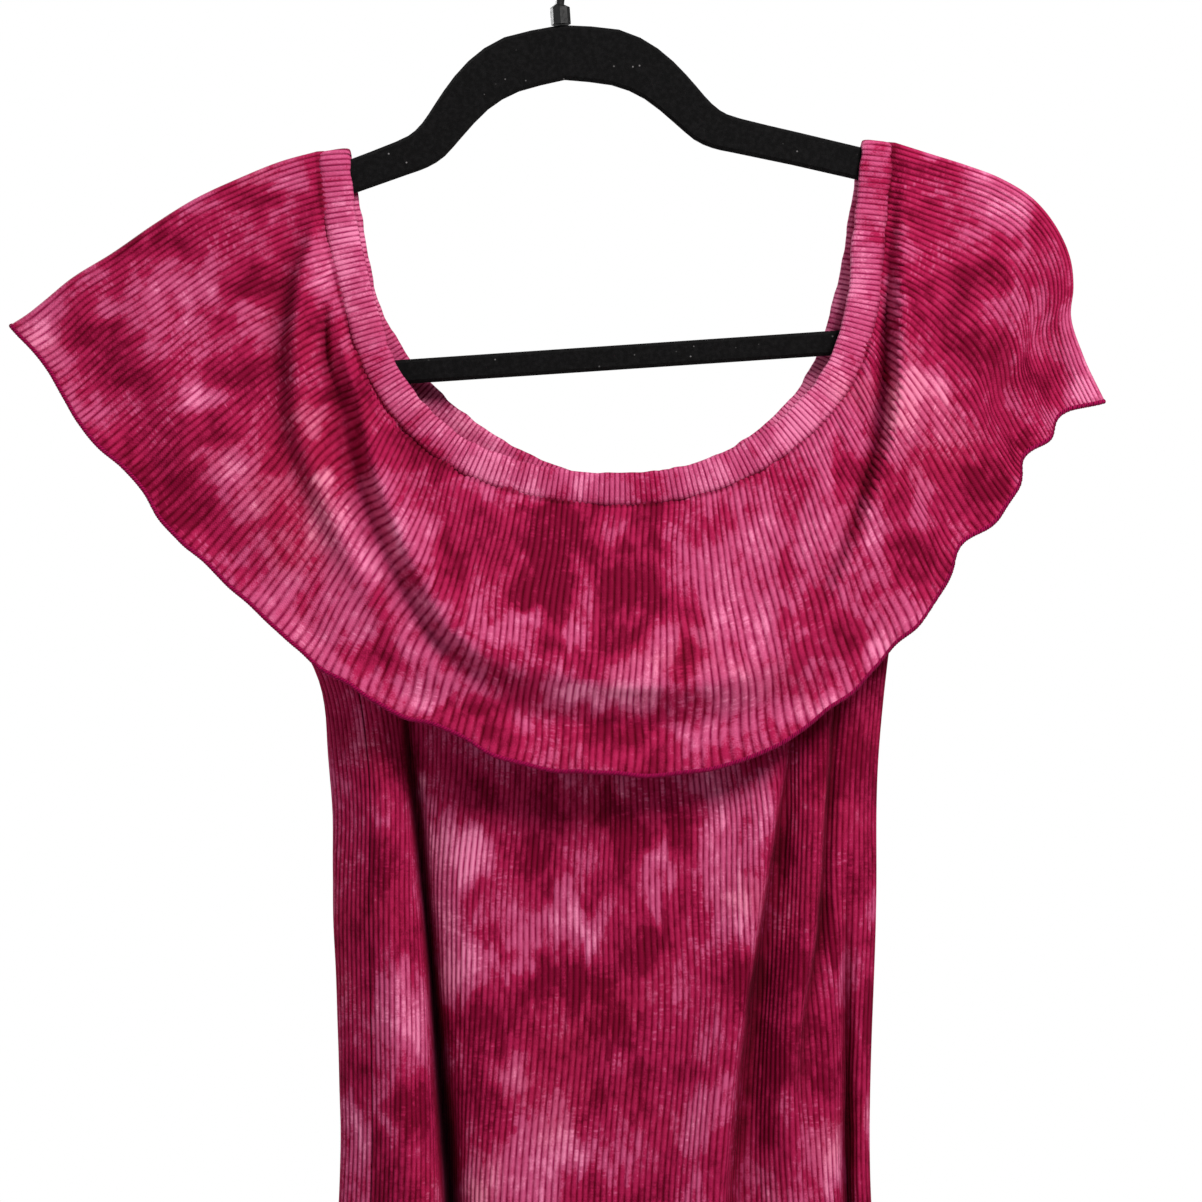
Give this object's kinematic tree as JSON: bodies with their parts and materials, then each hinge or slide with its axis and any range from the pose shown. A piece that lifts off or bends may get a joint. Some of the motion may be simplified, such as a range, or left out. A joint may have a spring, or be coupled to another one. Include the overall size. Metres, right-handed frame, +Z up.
{
  "type": "off-shoulder a-line dress on a clothes hanger",
  "caption": "Ribbed off-shoulder a-line dress with an elastic neck casing and a deep flounce, hung on a flocked hanger with a trouser bar and a hook.",
  "frame": {"origin": "inner top of the hanger's hook, where a rail or peg carries it", "axes": "+X to the viewer's right, +Z up along the hang, the front of the dress faces -Y"},
  "size_m": [0.4945, 0.1096, 1.0392],
  "materials": {
    "rib_knit": "soft ribbed jersey, tie-dyed in pink and deep magenta, with a faint sheen on the ribs",
    "casing_knit": "the same ribbed jersey drawn up over elastic",
    "edge_thread": "dense overlock thread in deep magenta",
    "hanger_flock": "black flocked plastic",
    "hook_metal": "satin black coated wire"
  },
  "bodies": {
    "root": {"neck_casing": "casing_knit", "flounce_front": "rib_knit", "flounce_back": "rib_knit", "body_front": "rib_knit", "body_back": "rib_knit", "hanger": "hanger_flock", "hook": "hook_metal"}
  },
  "joints": []
}
